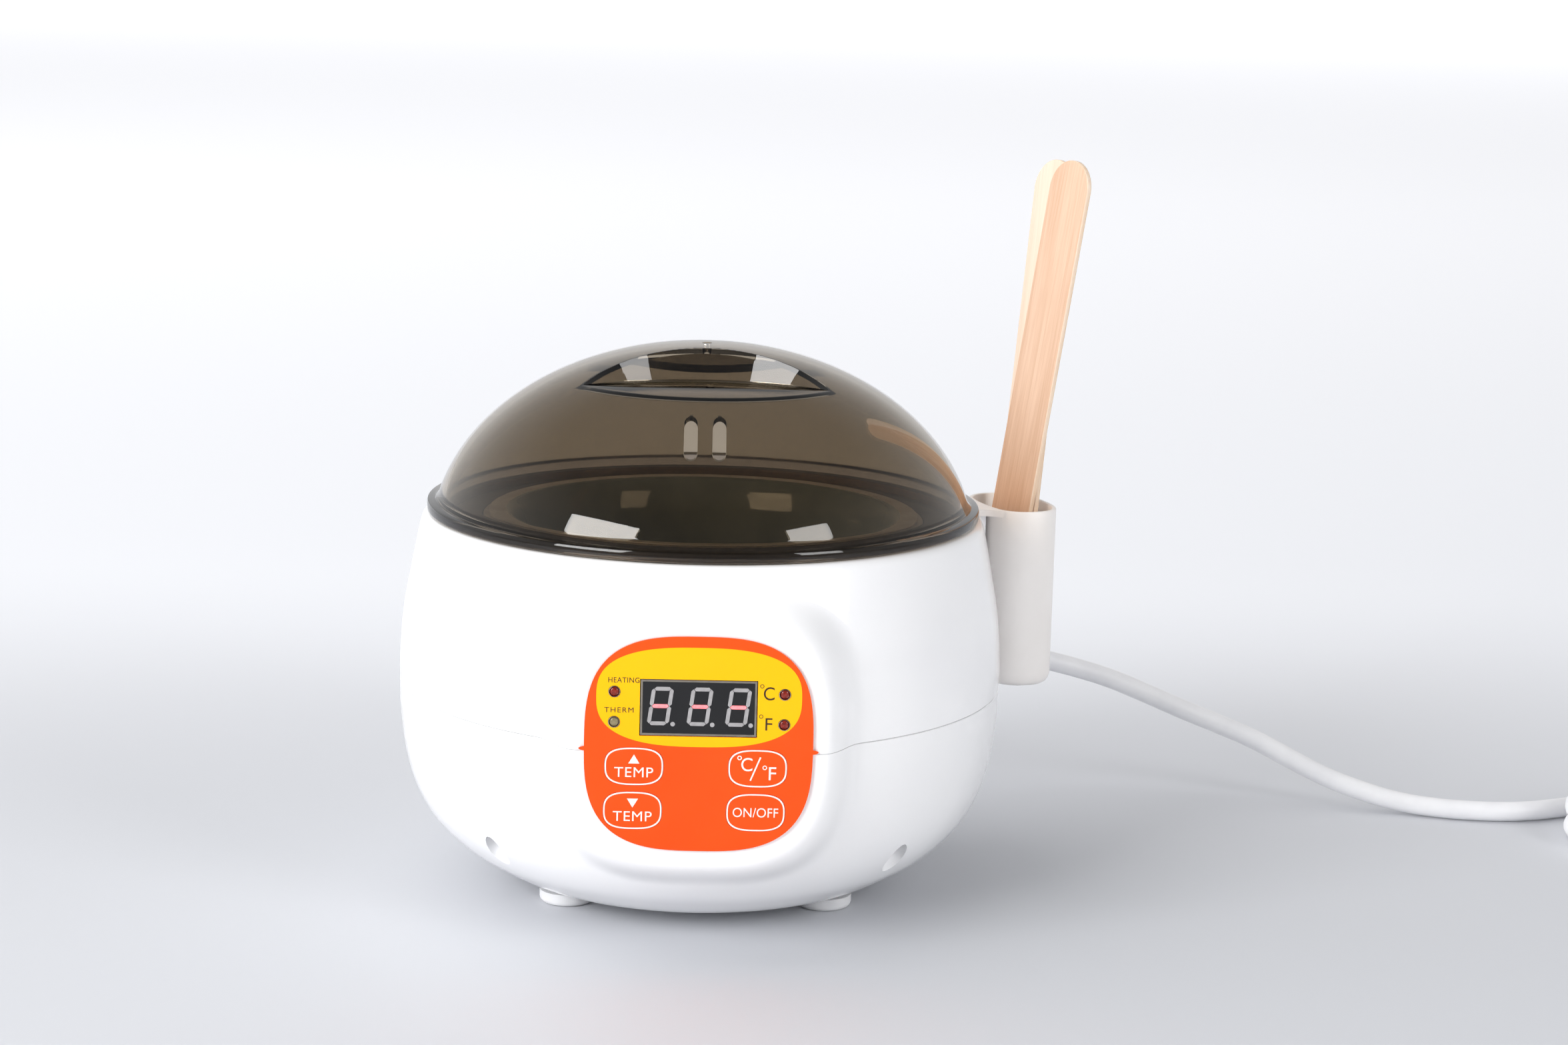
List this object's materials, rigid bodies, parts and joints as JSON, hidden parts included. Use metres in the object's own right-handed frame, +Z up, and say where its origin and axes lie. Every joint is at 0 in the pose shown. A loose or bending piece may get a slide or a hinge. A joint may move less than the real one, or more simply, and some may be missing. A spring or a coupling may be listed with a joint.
{
  "type": "wax warmer pot",
  "caption": "Round white electric wax warmer with a smoked domed lid, lift-out pot, front control panel with display and keys, hanging spatula cup and mains cord.",
  "frame": {"origin": "on the floor, under the middle of the warmer and its spatula cup", "axes": "+Z up, the control panel faces -Y, +X to the right as seen from the front, where the spatula cup and cord are"},
  "size_m": [0.4476, 0.1837, 0.2113],
  "materials": {
    "white_abs": "glossy injection-moulded ABS",
    "smoked_lid": "smoked transparent acrylic, glossy",
    "non_stick": "dark non-stick coating on aluminium, satin",
    "aluminium": "spun aluminium, satin",
    "dark_collar": "dark heat-resistant plastic, satin",
    "panel_film": "printed polyester film, orange and yellow",
    "dark_window": "dark tinted window film",
    "led_red": "dark red LED lens",
    "circuit_board": "green solder mask",
    "black_part": "black component case",
    "cup_plastic": "warm white polypropylene, satin",
    "wood": "plain sanded birch",
    "steel": "zinc-plated or nickel-plated steel",
    "glass_fibre": "woven glass-fibre sleeve",
    "cord_pvc": "white PVC jacket"
  },
  "bodies": {
    "housing": {"upper_housing": "white_abs", "lower_housing": "white_abs", "foot_front_left": "white_abs", "foot_front_right": "white_abs", "foot_rear_left": "white_abs", "foot_rear_right": "white_abs", "cup_hook": "white_abs", "housing_screw_1": "steel", "housing_screw_2": "steel", "housing_screw_3": "steel", "housing_screw_4": "steel", "heater_band": "steel", "thermistor": "steel", "plug_pin_1": "steel", "plug_pin_2": "steel", "heat_collar": "dark_collar", "heating_well": "aluminium", "insulation_sleeve": "glass_fibre", "thermal_fuse": "black_part", "relay": "black_part", "power_transformer": "black_part", "display_module": "black_part", "tact_switch_up": "black_part", "tact_switch_down": "black_part", "tact_switch_unit": "black_part", "tact_switch_power": "black_part", "panel_overlay": "panel_film", "display_window": "dark_window", "led_heating": "led_red", "led_warm": "led_red", "led_celsius": "led_red", "led_fahrenheit": "led_red", "control_board": "circuit_board", "power_board": "circuit_board", "terminal_block": "circuit_board", "suppression_capacitor": "panel_film", "strain_relief": "cord_pvc", "mains_cord": "cord_pvc", "cord_coil": "cord_pvc", "cord_tail": "cord_pvc", "mains_plug": "cord_pvc"},
    "inner_pot": {"inner_pot": "non_stick"},
    "lid": {"lid": "smoked_lid", "lid_crown": "smoked_lid"},
    "key_up": {"key_up": "panel_film"},
    "key_down": {"key_down": "panel_film"},
    "key_unit": {"key_unit": "panel_film"},
    "key_power": {"key_power": "panel_film"},
    "spatula_cup": {"spatula_cup": "cup_plastic"},
    "spatula_front": {"spatula_front": "wood"},
    "spatula_back": {"spatula_back": "wood"}
  },
  "joints": [
    {"name": "pot_lift", "type": "slide", "parent": "housing", "child": "inner_pot", "axis": [0, 0, 1], "range_m": [0, 0.08]},
    {"name": "lid_lift", "type": "slide", "parent": "inner_pot", "child": "lid", "axis": [0, 0, 1], "range_m": [0, 0.1]},
    {"name": "key_up_press", "type": "slide", "parent": "housing", "child": "key_up", "axis": [0, 1, 0], "range_m": [0, 0.0003], "stiffness_N_per_m": 500},
    {"name": "key_down_press", "type": "slide", "parent": "housing", "child": "key_down", "axis": [0, 1, 0], "range_m": [0, 0.0003], "stiffness_N_per_m": 500},
    {"name": "key_unit_press", "type": "slide", "parent": "housing", "child": "key_unit", "axis": [0, 1, 0], "range_m": [0, 0.0003], "stiffness_N_per_m": 500},
    {"name": "key_power_press", "type": "slide", "parent": "housing", "child": "key_power", "axis": [0, 1, 0], "range_m": [0, 0.0003], "stiffness_N_per_m": 500},
    {"name": "cup_lift", "type": "slide", "parent": "housing", "child": "spatula_cup", "axis": [0, 0, 1], "range_m": [0, 0.05]},
    {"name": "spatula_front_draw", "type": "slide", "parent": "spatula_cup", "child": "spatula_front", "axis": [0.1415, 0.0297, 0.9895], "range_m": [0, 0.1]},
    {"name": "spatula_back_draw", "type": "slide", "parent": "spatula_cup", "child": "spatula_back", "axis": [0.0876, 0.1153, 0.9895], "range_m": [0, 0.1]}
  ]
}
